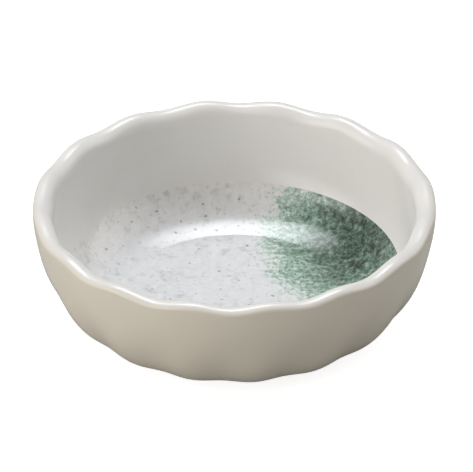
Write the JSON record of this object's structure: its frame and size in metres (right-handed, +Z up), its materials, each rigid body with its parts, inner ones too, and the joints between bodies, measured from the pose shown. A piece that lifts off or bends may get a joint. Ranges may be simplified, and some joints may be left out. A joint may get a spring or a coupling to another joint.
{
  "type": "sauce dish",
  "caption": "Small round sauce dish with a fluted outside wall, a wavy rolled lip, a smooth well with a printed round and a low foot ring.",
  "frame": {"origin": "middle of the foot ring's resting plane, which is also the bottom centre of the bounding box", "axes": "+Z up along the dish's own axis; -Y is the side the picture looks at, with a panel between two flute ridges facing it; +X is the side with the green zone of the print"},
  "size_m": [0.1, 0.1, 0.0317],
  "materials": {
    "body_resin": "satin-gloss pressed melamine resin, warm off-white outside and neutral white inside and on the lip",
    "printed_foil": "glossy printed foil, pale grey speckle with a soft green sprayed zone at one side"
  },
  "bodies": {
    "root": {"dish_body": "body_resin", "pattern_foil": "printed_foil"}
  },
  "joints": []
}
